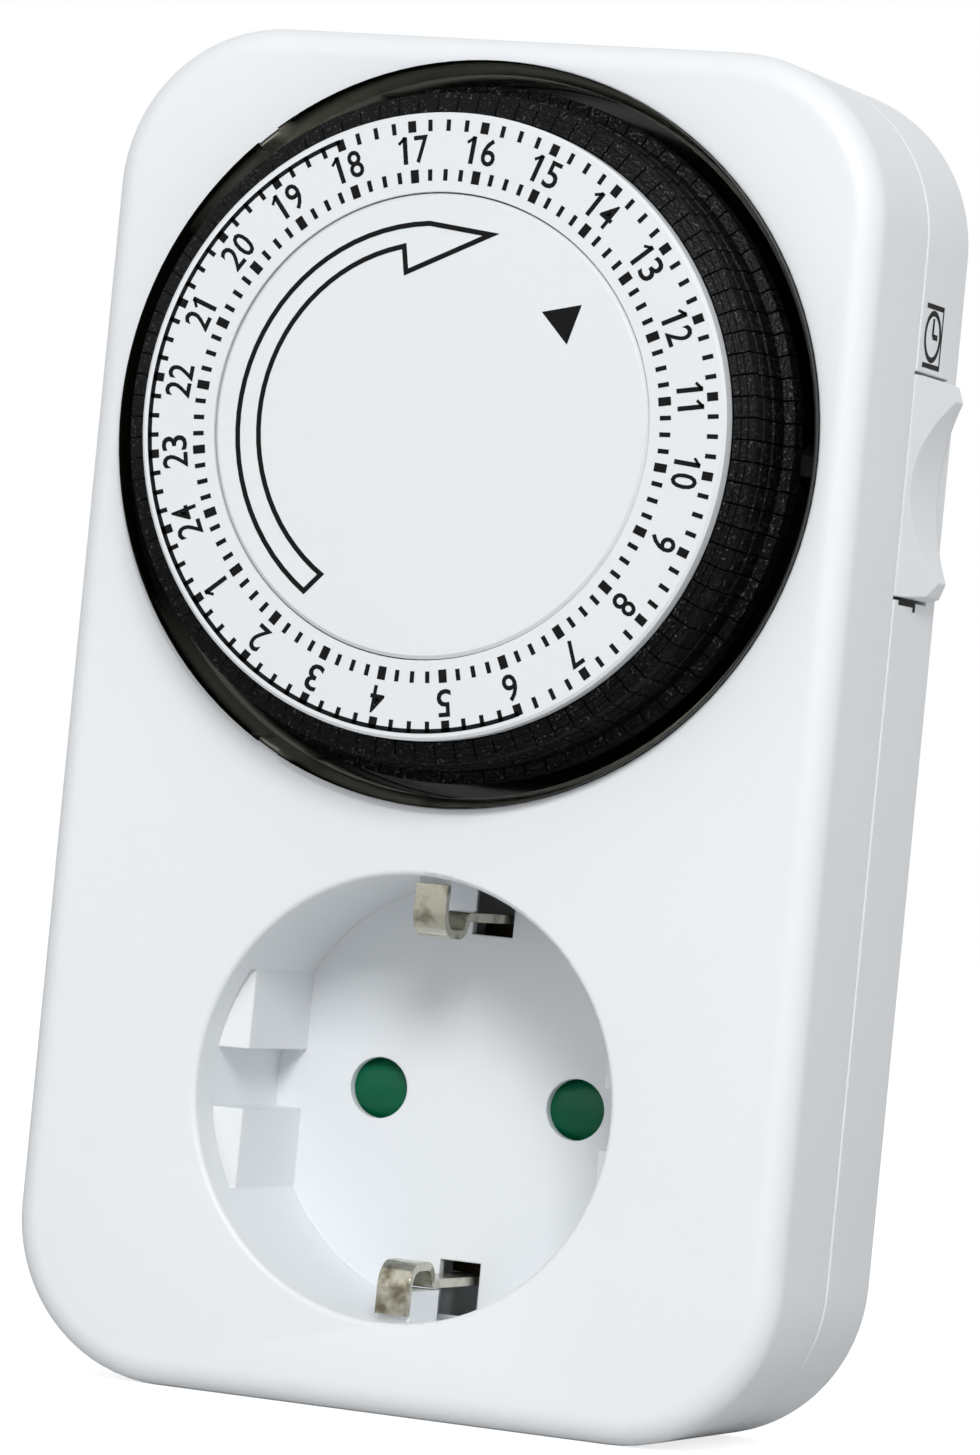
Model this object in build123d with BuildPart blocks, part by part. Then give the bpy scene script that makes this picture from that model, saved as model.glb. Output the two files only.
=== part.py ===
from build123d import *
from math import asin, atan2, cos, degrees, pi, radians, sin, sqrt
import os

# Plug-in 24-hour timer switch with a side-earthed socket in front and a side-earthed plug behind.
# Millimetres. +Z is up, the user looks along +Y, the plug goes into the wall outlet along +Y.
# The origin is the centre of the plug's mating face, on the common axis of plug and socket.

os.makedirs("parts", exist_ok=True)

# ---- housing ----
body_width = 72.0
body_height = 120.5
body_depth = 26.5
axis_above_bottom = 27.6
corner_r = 14.6
front_edge_r = 2.5
back_edge_r = 1.6
front_shell_depth = 13.8
wall = 2.0
seam_chamfer = 0.3
joint_gap = 0.15

# ---- plug ----
pin_r = 2.4
pin_length = 19.0
pin_pitch = 19.0
pin_tip_r = 1.6
pin_neck_r = 2.0
pin_collar = 0.4
pin_head_r = 3.4
pin_head = 2.0
plug_r = 19.0
plug_length = 17.0
plug_wall = 2.8
plug_end_wall = 3.0

# ---- socket recess ----
recess_r = 19.5
recess_depth = 18.0
recess_wall = 1.4
recess_floor = 1.0
recess_lip_r = 0.5
pin_hole_r = 2.75
key_face = 16.9
key_gap = 5.3
key_height = 7.1
key_start = 3.8
key_lead = 1.3
plug_key_clearance = 0.5

# ---- earth straps ----
strap_thick = 0.8
strap_width = 3.0
strap_z = 16.2
strap_hump_z = 14.6
strap_front = 2.6
strap_hump_length = 4.7
strap_slot = 3.9

# ---- dial ----
dial_above_axis = 58.1
dial_proud = 8.3
dial_r = 27.1
dial_hole_r = 20.2
dial_thick = 1.6
dial_bevel = 0.25
plate_gap = 0.1
hub_r = 6.0
hub_bore_r = 2.5
running_gap = 0.05
carrier_wall = 2.5
carrier_web = 1.4
segments = 96
segments_per_node = 8
segment_gap = 0.13
tappet_travel = 3.8
drive_teeth = 72
drive_module = 0.5
drive_thick = 1.6

# ---- dial well ----
well_r = 32.6
well_wall = 0.9
well_proud = 1.1
well_depth = 9.5
well_floor = 1.5
flange_r = 33.8
flange_thick = 1.2

# ---- gear train ----
output_teeth = 12
wheel_teeth = 42
mid_pinion_teeth = 14
mid_wheel_teeth = 36
motor_teeth = 12
wheel_module = 0.4
motor_module = 0.35
output_angle = -110.0
mid_angle = 150.0
motor_angle = 80.0
arbor_r = 0.75
gear_thick = 1.3
gear_backlash = 0.14
gear_air = 0.6

# ---- motor ----
motor_r = 16.0
motor_depth = 7.0
can_sheet = 0.6
rotor_r = 6.8

# ---- override rocker ----
rocker_length = 19.4
rocker_width = 8.6
rocker_z = 57.4
rocker_crest = 1.7
rocker_slope = 0.25
rocker_gap = 0.3

# ---- derived places along Y ----
y_back = -plug_length
y_face = y_back - body_depth
y_seam = y_face + front_shell_depth
y_inner_back = y_back - wall
y_inner_face = y_face + wall
y_recess = y_face + recess_depth
y_recess_back = y_recess + recess_floor
y_dial = y_face - dial_proud
y_dial_back = y_dial + dial_thick
y_rim = y_face - well_proud
y_well = y_face + well_depth
y_well_back = y_well + well_floor
body_mid = body_height / 2 - axis_above_bottom
body_top = body_height - axis_above_bottom
dial_z = dial_above_axis
dial_axis = Axis((0, 0, dial_z), (0, 1, 0))
pin_x = pin_pitch / 2


def facing(y, x=0.0, z=0.0):
    """Sketch plane turned to the user: sketch x is X, sketch y is Z, extrusions go forward (-Y)."""
    return Plane(origin=(x, y, z), x_dir=(1, 0, 0), z_dir=(0, -1, 0))


def level(z, x=0.0, y=0.0):
    """Sketch plane seen from above: sketch x is X, sketch y is Y, extrusions go up."""
    return Plane(origin=(x, y, z), x_dir=(1, 0, 0), z_dir=(0, 0, 1))


def across(x):
    """Sketch plane seen from the right: sketch x is Y, sketch y is Z, extrusions go to +X."""
    return Plane(origin=(x, 0, 0), x_dir=(0, 1, 0), z_dir=(1, 0, 0))


def radial(angle):
    """Half plane of the dial at an angle from +X: sketch x runs outwards, sketch y runs back."""
    c, s = cos(radians(angle)), sin(radians(angle))
    return Plane(origin=(0, 0, dial_z), x_dir=(c, 0, s), z_dir=(-s, 0, c))


def write(piece, label):
    """Name a finished piece and write its STEP file."""
    piece.part.label = label
    export_step(piece.part, f"parts/{label}.step")


# Screw places: two beside the socket and two above the dial, inside the housing's corners.
screw_inset = 7.2
screw_places = [
    (sx * (body_width / 2 - screw_inset), z)
    for sx in (-1, 1)
    for z in (screw_inset - axis_above_bottom, body_top - screw_inset)
]
screw_boss_r = 3.4
screw_core_r = 1.25
screw_head_r = 2.6
screw_head_seat = 5.0
screw_length = 16.0

# ---- front housing: face, side walls, socket cup with its guide keys, opening for the dial ----

key_top = key_gap / 2 + key_height
rib_back = strap_front + 7.2
post_r = 1.2
post_z = 12.0
pivot_r = 1.5
shutter_clear = 0.2
shutter_thick = 1.6
y_shutter = y_recess_back + shutter_clear
y_shutter_back = y_shutter + shutter_thick
retainer_thick = 0.8
y_retainer = y_shutter_back + 0.9

rocker_front = y_seam + joint_gap
rocker_back = rocker_front + rocker_width
pivot_x = body_width / 2 - wall - 0.9
rocker_pin_r = 1.0
lug_reach = 3.2

with BuildPart() as front_housing:
    with BuildSketch(facing(y_seam, z=body_mid)):
        RectangleRounded(body_width, body_height, corner_r)
    extrude(amount=front_shell_depth)
    fillet(front_housing.faces().sort_by(Axis.Y)[0].edges(), front_edge_r)
    chamfer(front_housing.faces().sort_by(Axis.Y)[-1].edges(), seam_chamfer)
    with BuildSketch(facing(y_seam, z=body_mid)):
        RectangleRounded(body_width - 2 * wall, body_height - 2 * wall, corner_r - wall)
    extrude(amount=front_shell_depth - wall, mode=Mode.SUBTRACT)
    # Socket cup, from the face to behind the shell's rim.
    with BuildSketch(facing(y_recess_back)):
        Circle(recess_r + recess_wall)
    extrude(amount=y_recess_back - y_inner_face)
    with BuildSketch(facing(y_recess)):
        Circle(recess_r)
    extrude(amount=recess_depth, mode=Mode.SUBTRACT)
    mouth = front_housing.edges().filter_by(GeomType.CIRCLE).sort_by(Axis.Y)
    fillet([e for e in mouth if abs(e.radius - recess_r) < 0.01][0], recess_lip_r)
    # Two pairs of guide keys with a lead-in; the plug's side key runs between each pair.
    with BuildSketch(facing(y_recess)):
        with Locations(*[(sx * recess_r, sz * (key_gap + key_height) / 2) for sx in (-1, 1) for sz in (-1, 1)]):
            Rectangle(2 * (recess_r - key_face), key_height)
        Circle(recess_r + recess_wall / 2, mode=Mode.INTERSECT)
    extrude(amount=recess_depth - key_start)
    for side in (-1, 1):
        with BuildSketch(level(-key_top)):
            with BuildLine():
                Polyline(
                    (side * recess_r, y_face + key_start - 0.01),
                    (side * key_face, y_face + key_start - 0.01),
                    (side * key_face, y_face + key_start + key_lead),
                    close=True,
                )
            make_face()
        extrude(amount=2 * key_top, mode=Mode.SUBTRACT)
    # Holes for the plug's pins, and the shutter's pivot and stand-off posts behind the floor.
    with BuildSketch(facing(y_recess_back)):
        with GridLocations(pin_pitch, 0, 2, 1):
            Circle(pin_hole_r)
    extrude(amount=recess_floor, mode=Mode.SUBTRACT)
    with BuildSketch(facing(y_retainer + retainer_thick)):
        Circle(pivot_r)
    extrude(amount=y_retainer + retainer_thick - y_recess_back)
    with BuildSketch(facing(y_retainer)):
        with GridLocations(0, 2 * post_z, 1, 2):
            Circle(post_r)
    extrude(amount=y_retainer - y_recess_back)
    # Earth clips: a rib behind each hump, a pocket in the wall and a slot through the floor.
    for side in (-1, 1):
        rib_low = strap_z + strap_thick / 2 + joint_gap
        with BuildSketch(facing(y_face + rib_back, z=side * (rib_low + recess_r + recess_wall / 2) / 2)):
            Rectangle(strap_width, recess_r + recess_wall / 2 - rib_low)
        extrude(amount=rib_back - strap_front - strap_thick)
        slot_mid = (strap_hump_z + recess_r) / 2
        with BuildSketch(facing(y_recess_back, z=side * slot_mid)):
            Rectangle(strap_slot, recess_r - strap_hump_z)
        extrude(amount=recess_floor, mode=Mode.SUBTRACT)
        with BuildSketch(facing(y_recess, z=side * (recess_r + recess_wall / 2))):
            Rectangle(strap_slot, recess_wall * 2.4)
        extrude(amount=recess_depth - rib_back, mode=Mode.SUBTRACT)
    # Round opening for the dial well.
    with BuildSketch(facing(y_inner_face, z=dial_z)):
        Circle(well_r + running_gap)
    extrude(amount=wall, mode=Mode.SUBTRACT)
    # Screw bosses.
    with BuildSketch(facing(y_seam)):
        with Locations(*screw_places):
            Circle(screw_boss_r)
    extrude(amount=front_shell_depth - wall)
    with BuildSketch(facing(y_seam)):
        with Locations(*screw_places):
            Circle(screw_core_r)
    extrude(amount=screw_length * 0.7, mode=Mode.SUBTRACT)
    # Lug that carries the front end of the rocker's pin.
    with BuildSketch(facing(y_seam - joint_gap)):
        with Locations((body_width / 2 - wall - lug_reach / 2, rocker_z)):
            Rectangle(lug_reach, 6)
    extrude(amount=2.4)
    with BuildSketch(facing(y_seam)):
        with Locations((pivot_x, rocker_z)):
            Circle(rocker_pin_r)
    extrude(amount=2.0, mode=Mode.SUBTRACT)
write(front_housing, "front_housing")

# ---- rear housing: back shell with the plug barrel ----

groove_width = 4.6
groove_floor = strap_z - strap_thick / 2
plug_flat = key_face - plug_key_clearance
plug_key = key_gap - plug_key_clearance
cavity_r = plug_r - plug_wall
cavity_flat = plug_flat - 2.0
cavity_top = groove_floor - 1.2

with BuildPart() as rear_housing:
    with BuildSketch(facing(y_back, z=body_mid)):
        RectangleRounded(body_width, body_height, corner_r)
    extrude(amount=body_depth - front_shell_depth)
    fillet(rear_housing.faces().sort_by(Axis.Y)[-1].edges(), back_edge_r)
    chamfer(rear_housing.faces().sort_by(Axis.Y)[0].edges(), seam_chamfer)
    with BuildSketch(facing(y_inner_back, z=body_mid)):
        RectangleRounded(body_width - 2 * wall, body_height - 2 * wall, corner_r - wall)
    extrude(amount=body_depth - front_shell_depth - wall, mode=Mode.SUBTRACT)
    # Plug barrel: round, with flats beside a key on each side and a groove for each earth strap.
    with BuildSketch(facing(0)):
        Circle(plug_r)
        with Locations(*[(sx * (plug_flat + plug_r) / 2, sz * (plug_key + plug_r) / 2) for sx in (-1, 1) for sz in (-1, 1)]):
            Rectangle(plug_r - plug_flat, plug_r, mode=Mode.SUBTRACT)
    extrude(amount=plug_length)
    chamfer(rear_housing.faces().sort_by(Axis.Y)[-1].outer_wire().edges(), 0.8)
    with BuildSketch(facing(-plug_end_wall)):
        Circle(cavity_r)
        Rectangle(2 * cavity_flat, 2 * cavity_top, mode=Mode.INTERSECT)
    extrude(amount=plug_length - plug_end_wall + wall, mode=Mode.SUBTRACT)
    with BuildSketch(facing(0)):
        with GridLocations(0, groove_floor + plug_r + 1, 1, 2):
            Rectangle(groove_width, plug_r + 1 - groove_floor)
    extrude(amount=plug_length, mode=Mode.SUBTRACT)
    with BuildSketch(facing(y_back)):
        with GridLocations(0, 2 * strap_z, 1, 2):
            Rectangle(groove_width, strap_thick)
    extrude(amount=wall, mode=Mode.SUBTRACT)
    # Seats of the two plug pins.
    with BuildSketch(facing(0)):
        with GridLocations(pin_pitch, 0, 2, 1):
            Circle(pin_neck_r)
    extrude(amount=plug_end_wall, mode=Mode.SUBTRACT)
    with BuildSketch(facing(0)):
        with GridLocations(pin_pitch, 0, 2, 1):
            Circle(pin_r + 0.1)
    extrude(amount=pin_collar + 0.1, taper=45, mode=Mode.SUBTRACT)
    # Screw bosses with sunk head seats.
    with BuildSketch(facing(y_inner_back)):
        with Locations(*screw_places):
            Circle(screw_boss_r)
    extrude(amount=body_depth - front_shell_depth - wall)
    with BuildSketch(facing(y_back)):
        with Locations(*screw_places):
            Circle(screw_core_r)
    extrude(amount=body_depth - front_shell_depth, mode=Mode.SUBTRACT)
    with BuildSketch(facing(y_back)):
        with Locations(*screw_places):
            Circle(screw_head_r)
    extrude(amount=screw_head_seat, mode=Mode.SUBTRACT)
    # Window for the override rocker in the right wall, and the seat of its pin.
    with BuildSketch(level(rocker_z - rocker_length / 2 - rocker_gap)):
        with Locations((body_width / 2 - wall / 2, (y_seam + rocker_back + joint_gap) / 2)):
            Rectangle(wall * 1.5, rocker_back + joint_gap - y_seam)
    extrude(amount=rocker_length + 2 * rocker_gap, mode=Mode.SUBTRACT)
    with BuildSketch(facing(y_inner_back)):
        with Locations((pivot_x - 0.25, rocker_z)):
            Rectangle(2.7, 6)
    extrude(amount=y_inner_back - rocker_back - joint_gap)
    with BuildSketch(facing(y_inner_back)):
        with Locations((pivot_x, rocker_z)):
            Circle(rocker_pin_r)
    extrude(amount=y_inner_back - rocker_back, mode=Mode.SUBTRACT)
write(rear_housing, "rear_housing")

# ---- four housing screws, driven from behind ----

with BuildPart() as housing_screws:
    with BuildSketch(facing(y_back - screw_head_seat)):
        with Locations(*screw_places):
            Circle(screw_core_r)
    extrude(amount=screw_length)
    with BuildSketch(facing(y_back - screw_head_seat + 2.0)):
        with Locations(*screw_places):
            Circle(screw_head_r - joint_gap)
    extrude(amount=2.0)
    with BuildSketch(facing(y_back - screw_head_seat + 2.0)):
        with Locations(*screw_places):
            Rectangle(3.2, 0.7)
            Rectangle(0.7, 3.2)
    extrude(amount=1.2, mode=Mode.SUBTRACT)
write(housing_screws, "housing_screws")

# ---- override rocker on the right side, with its pin ----

half_rocker = rocker_length / 2
rocker_face = body_width / 2 + rocker_crest
rocker_inner = body_width / 2 - wall - 1.6
rocker_hub = rocker_inner - 0.8

with BuildPart() as override_rocker:
    with BuildSketch(facing(rocker_back, z=rocker_z)):
        with BuildLine():
            Polyline(
                (rocker_face, half_rocker - 1.7),
                (rocker_face - 0.5, half_rocker - 0.3),
                (rocker_face - 1.4, half_rocker),
                (body_width / 2 - wall - 0.1, half_rocker),
                (rocker_inner, half_rocker - 2.2),
                (rocker_hub, 2.6),
                (rocker_hub, -2.6),
                (rocker_inner, 2.2 - half_rocker),
                (body_width / 2 - wall - 0.1, -half_rocker),
                (rocker_face - 1.4, -half_rocker),
                (rocker_face - 0.5, 0.3 - half_rocker),
                (rocker_face, 1.7 - half_rocker),
            )
            ThreePointArc(
                (rocker_face, 1.7 - half_rocker),
                (rocker_face - rocker_crest + 0.2, 0),
                (rocker_face, half_rocker - 1.7),
            )
        make_face()
    extrude(amount=rocker_width)
    # The front of the finger surface slopes down to the seam.
    with BuildSketch(level(rocker_z - half_rocker)):
        with BuildLine():
            Polyline(
                (body_width / 2, rocker_front),
                (body_width / 2 + 4, rocker_front),
                (body_width / 2 + 4, rocker_front + 4 / rocker_slope),
                close=True,
            )
        make_face()
    extrude(amount=rocker_length, mode=Mode.SUBTRACT)
    with BuildSketch(facing(rocker_back)):
        with Locations((pivot_x, rocker_z)):
            Circle(rocker_pin_r + running_gap)
    extrude(amount=rocker_width, mode=Mode.SUBTRACT)
write(override_rocker, "override_rocker")

with BuildPart() as rocker_pin:
    with BuildSketch(facing(y_inner_back)):
        with Locations((pivot_x, rocker_z)):
            Circle(rocker_pin_r)
    extrude(amount=y_inner_back - y_seam + 2.0)
write(rocker_pin, "rocker_pin")

# ---- dial well: smoked cup with the hub that the dial turns on and the follower's slot ----

well_inner = well_r - well_wall
out_r = (drive_teeth + output_teeth) * drive_module / 2
out_x = out_r * cos(radians(output_angle))
out_z = out_r * sin(radians(output_angle))
mid_r = (wheel_teeth + mid_pinion_teeth) * wheel_module / 2
mid_x = out_x + mid_r * cos(radians(mid_angle))
mid_z = out_z + mid_r * sin(radians(mid_angle))
mot_r = (mid_wheel_teeth + motor_teeth) * motor_module / 2
mot_x = mid_x + mot_r * cos(radians(motor_angle))
mot_z = mid_z + mot_r * sin(radians(motor_angle))
post_places = [(6.5, -25.0), (-20.0, 14.5), (4.0, 8.0)]
gear_post_r = 2.0
gear_screw_r = 0.9
y_plate = y_well_back + 5.5
plate_thick = 0.8
follower_r = 28.6
follower_slot_z = 3.6
lever_pivot_z = 9.5
lever_pin_r = 0.8
y_lever_pivot = y_well_back + 3.6
y_hub = y_dial + 1.4
snap_angles = (130.0, -118.0)
snap_width = 2.2
snap_depth = 0.4

with BuildPart() as dial_well:
    with BuildSketch(level(dial_z)):
        with BuildLine():
            Polyline(
                (hub_bore_r, y_hub),
                (hub_r, y_hub),
                (hub_r, y_well),
                (well_inner - 0.1, y_well),
                (well_inner, y_rim),
                (well_r, y_rim),
                (well_r, y_inner_face),
                (flange_r, y_inner_face),
                (flange_r, y_inner_face + flange_thick),
                (well_r, y_inner_face + flange_thick),
                (well_r - 0.2, y_well_back),
                (hub_bore_r, y_well_back),
                close=True,
            )
        make_face()
    revolve(axis=dial_axis)
    # The flange is cut flat beside the housing's top wall.
    with BuildSketch(facing(y_inner_face + flange_thick, z=body_top)):
        Rectangle(2 * flange_r, 2 * (wall + joint_gap))
    extrude(amount=flange_thick, mode=Mode.SUBTRACT)
    # Snap notches in the rim.
    for angle in snap_angles:
        with BuildSketch(facing(y_rim + snap_depth, z=dial_z)):
            with PolarLocations(well_r, 1, start_angle=angle):
                Rectangle(1.0, snap_width)
        extrude(amount=snap_depth, mode=Mode.SUBTRACT)
    # Hole for the output pinion and slot for the follower's nose.
    with BuildSketch(facing(y_well_back, z=dial_z)):
        with Locations((out_x, out_z)):
            Circle((output_teeth / 2 + 1) * drive_module + 0.4)
        with Locations((follower_r, 0)):
            Rectangle(3.4, 2 * follower_slot_z)
    extrude(amount=well_floor, mode=Mode.SUBTRACT)
    # Posts for the gear plate, and the two ears of the follower's pin.
    with BuildSketch(facing(y_plate, z=dial_z)):
        with Locations(*post_places):
            Circle(gear_post_r)
    extrude(amount=y_plate - y_well_back)
    with BuildSketch(facing(y_plate, z=dial_z)):
        with Locations(*post_places):
            Circle(gear_screw_r)
    extrude(amount=y_plate - y_well_back, mode=Mode.SUBTRACT)
    with BuildSketch(facing(y_lever_pivot + 1.8, z=dial_z + lever_pivot_z)):
        with Locations((follower_r - 2.0, 0), (follower_r + 1.95, 0)):
            Rectangle(1.1, 3.6)
    extrude(amount=y_lever_pivot + 1.8 - y_well_back)
    with BuildSketch(across(follower_r - 3.2)):
        with Locations((y_lever_pivot, dial_z + lever_pivot_z)):
            Circle(lever_pin_r)
    extrude(amount=6.0, mode=Mode.SUBTRACT)
write(dial_well, "dial_well")

# ---- fixed centre plate, pressed into the hub ----

plate_r = dial_hole_r - plate_gap

with BuildPart() as centre_plate:
    with BuildSketch(level(dial_z)):
        with BuildLine():
            Polyline(
                (0, y_dial),
                (plate_r - 0.3, y_dial),
                (plate_r, y_dial + 0.3),
                (plate_r, y_hub),
                (hub_bore_r, y_hub),
                (hub_bore_r, y_hub + 6),
                (hub_bore_r - 0.5, y_hub + 6.5),
                (0, y_hub + 6.5),
                close=True,
            )
        make_face()
    revolve(axis=dial_axis)
write(centre_plate, "centre_plate")

# ---- dial ring with the printed hours, on the black carrier that guides the tappets ----

carrier_r = dial_r - 0.05
carrier_inner = carrier_r - carrier_wall
web_front = y_well - 4.0
web_back = web_front + carrier_web
tongue_width = 1.0
tongue_depth = 1.2
tongue_length = 7.0
tongue_slot = tongue_width + 0.16
tongue_front = y_dial_back + 0.7
pitch_angle = 360 / segments
first_hour = -155.6

with BuildPart() as dial_ring:
    with BuildSketch(level(dial_z)):
        with BuildLine():
            Polyline(
                (dial_hole_r, y_dial),
                (dial_r - dial_bevel, y_dial),
                (dial_r, y_dial + dial_bevel),
                (dial_r, y_dial_back),
                (dial_hole_r, y_dial_back),
                close=True,
            )
        make_face()
    revolve(axis=dial_axis)
write(dial_ring, "dial_ring")

with BuildPart() as tappet_carrier:
    with BuildSketch(level(dial_z)):
        with BuildLine():
            Polyline(
                (carrier_inner, y_dial_back),
                (carrier_r, y_dial_back),
                (carrier_r, web_back),
                (hub_r + running_gap, web_back),
                (hub_r + running_gap, web_front - 6),
                (hub_r + 2, web_front - 6),
                (hub_r + 2, web_front),
                (carrier_inner, web_front),
                close=True,
            )
        make_face()
    revolve(axis=dial_axis)
    # One guide slot for each quarter of an hour.
    with BuildSketch(facing(web_front - 0.4, z=dial_z)):
        with PolarLocations(carrier_r, segments, start_angle=first_hour + pitch_angle / 2):
            Rectangle(2 * (tongue_depth + 0.1), tongue_slot)
    extrude(amount=web_front - 0.4 - tongue_front + 0.2, mode=Mode.SUBTRACT)
write(tappet_carrier, "tappet_carrier")

# ---- tappets: one black segment for each quarter of an hour, eight on a node ----

# Each segment is stepped like a stair outside, with a foot that a finger or a pen pushes in.
tappet_inner = dial_r + 0.12
tappet_front = y_dial_back
stair = [(27.85, 0.0), (28.45, 0.2), (29.05, 0.4), (29.25, 2.2), (29.45, 4.1), (30.45, 6.6)]
foot_thick = 2.0
stem_r = 29.3
tappet_end = y_well - tappet_travel - 0.7
half_segment = (360 / segments - degrees(segment_gap / tappet_inner)) / 2
segment_edges = [first_hour + pitch_angle / 2 + sign * half_segment for sign in (-1, 1)]


def segment_profile():
    """Corners of a tappet in its radial plane, from the front down the stair to the cam end."""
    corners = [(tappet_inner, tappet_front)]
    for r, back in stair:
        corners.append((corners[-1][0], tappet_front + back))
        corners.append((r, tappet_front + back))
    foot_back = tappet_front + stair[-1][1] + foot_thick
    corners += [(stair[-1][0], foot_back), (stem_r, foot_back), (stem_r, tappet_end)]
    corners += [(tappet_inner, tappet_end)]
    return corners[:1] + corners[2:]


# One stepped segment with the tongue that slides in the carrier's slot; the others are turned copies.
with BuildPart() as first_tappet:
    with BuildSketch(radial(first_hour + pitch_angle / 2)):
        with BuildLine():
            Polyline(*segment_profile(), close=True)
        make_face()
    extrude(amount=2.0, both=True)
    with BuildSketch(facing(y_well, z=dial_z)):
        with BuildLine():
            Polyline(
                (0, 0),
                *[(40 * cos(radians(a)), 40 * sin(radians(a))) for a in segment_edges],
                close=True,
            )
        make_face()
    extrude(amount=30, mode=Mode.INTERSECT)
    with BuildSketch(radial(first_hour + pitch_angle / 2)):
        with Locations((tappet_inner + 0.2 - tongue_depth / 2, tongue_front + tongue_length / 2)):
            Rectangle(tongue_depth + 0.2, tongue_length)
    extrude(amount=tongue_width / 2, both=True)

turn_axis = Axis(dial_axis.position, dial_axis.direction * -1)
for node in range(segments // segments_per_node):
    with BuildPart() as tappets:
        for index in range(segments_per_node):
            add(first_tappet.part.rotate(turn_axis, (node * segments_per_node + index) * pitch_angle))
    write(tappets, f"tappets_{2 * node:02d}_to_{2 * node + 2:02d}")


# ---- gears ----


def gear_outline(teeth, module, phase):
    """Corners of a gear with straight-flanked teeth, thinned by the backlash, first tooth at phase."""
    pitch_r = teeth * module / 2
    tip_r, root_r = pitch_r + 0.9 * module, pitch_r - 1.2 * module
    half_tooth = 90 / teeth - degrees(gear_backlash / 2 / pitch_r)
    corners = []
    for tooth in range(teeth):
        middle = phase + tooth * 360 / teeth
        for r, share in ((root_r, -1.45), (tip_r, -0.5), (tip_r, 0.5), (root_r, 1.45)):
            turn = radians(middle + share * half_tooth)
            corners.append((r * cos(turn), r * sin(turn)))
    return corners


# A tooth of the driving gear points at the gap of the next one along each centre line.
drive_phase = output_angle
output_phase = output_angle + 180 + 180 / output_teeth
wheel_phase = mid_angle
mid_pinion_phase = mid_angle + 180 + 180 / mid_pinion_teeth
mid_wheel_phase = motor_angle
motor_phase = motor_angle + 180 + 180 / motor_teeth

with BuildPart() as drive_wheel:
    with BuildSketch(facing(web_back + drive_thick, z=dial_z)):
        with BuildLine():
            Polyline(*gear_outline(drive_teeth, drive_module, drive_phase), close=True)
        make_face()
    extrude(amount=drive_thick)
    with BuildSketch(facing(web_back + drive_thick, z=dial_z)):
        Circle(hub_r + running_gap)
    extrude(amount=drive_thick, mode=Mode.SUBTRACT)
    # Weight-saving windows between the spokes.
    with BuildSketch(facing(web_back + drive_thick, z=dial_z)):
        with PolarLocations(12.0, 6):
            Rectangle(6.0, 7.0)
    extrude(amount=drive_thick, mode=Mode.SUBTRACT)
write(drive_wheel, "drive_wheel")

with BuildPart() as thrust_washer:
    with BuildSketch(level(dial_z)):
        with BuildLine():
            Polyline(
                (hub_r + running_gap, y_well - 0.3),
                (hub_r + running_gap, y_well),
                (hub_r + 0.6, y_well),
                (hub_r + 3.0, web_back + drive_thick + 0.35),
                (hub_r + 3.0, web_back + drive_thick + running_gap),
                (hub_r + 2.4, web_back + drive_thick + running_gap),
                close=True,
            )
        make_face()
    revolve(axis=dial_axis)
write(thrust_washer, "thrust_washer")

y_wheel = y_well_back + 0.7
y_mid_wheel = y_wheel + gear_thick + gear_air

with BuildPart() as output_gear:
    with BuildSketch(facing(y_wheel + gear_thick, out_x, dial_z + out_z)):
        with BuildLine():
            Polyline(*gear_outline(wheel_teeth, wheel_module, wheel_phase), close=True)
        make_face()
    extrude(amount=gear_thick)
    with BuildSketch(facing(y_wheel, out_x, dial_z + out_z)):
        with BuildLine():
            Polyline(*gear_outline(output_teeth, drive_module, output_phase), close=True)
        make_face()
    extrude(amount=y_wheel - web_back - 0.2)
    with BuildSketch(facing(y_plate - 0.2, out_x, dial_z + out_z)):
        Circle(2.0)
    extrude(amount=y_plate - 0.2 - y_wheel - gear_thick)
    with BuildSketch(facing(y_plate, out_x, dial_z + out_z)):
        Circle(arbor_r + running_gap)
    extrude(amount=y_plate - web_back, mode=Mode.SUBTRACT)
write(output_gear, "output_gear")

centre = (mid_x, dial_z + mid_z)

with BuildPart() as intermediate_gear:
    with BuildSketch(facing(y_mid_wheel + gear_thick, *centre)):
        with BuildLine():
            Polyline(*gear_outline(mid_wheel_teeth, motor_module, mid_wheel_phase), close=True)
        make_face()
    extrude(amount=gear_thick)
    with BuildSketch(facing(y_mid_wheel, *centre)):
        with BuildLine():
            Polyline(*gear_outline(mid_pinion_teeth, wheel_module, mid_pinion_phase), close=True)
        make_face()
    extrude(amount=y_mid_wheel - y_wheel + 0.2)
    with BuildSketch(facing(y_plate - 0.2, *centre)):
        Circle(1.6)
    extrude(amount=y_plate - 0.2 - y_mid_wheel - gear_thick)
    with BuildSketch(facing(y_plate, *centre)):
        Circle(arbor_r + running_gap)
    extrude(amount=y_plate - y_wheel + 1, mode=Mode.SUBTRACT)
write(intermediate_gear, "intermediate_gear")

motor_centre = (mot_x, dial_z + mot_z)

with BuildPart() as motor_pinion:
    with BuildSketch(facing(y_mid_wheel + gear_thick + 0.2, *motor_centre)):
        with BuildLine():
            Polyline(*gear_outline(motor_teeth, motor_module, motor_phase), close=True)
        make_face()
    extrude(amount=gear_thick + 0.4)
    with BuildSketch(facing(y_plate + plate_thick + can_sheet, *motor_centre)):
        Circle(arbor_r)
    extrude(amount=y_plate + plate_thick + can_sheet - y_mid_wheel)
write(motor_pinion, "motor_pinion")

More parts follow.
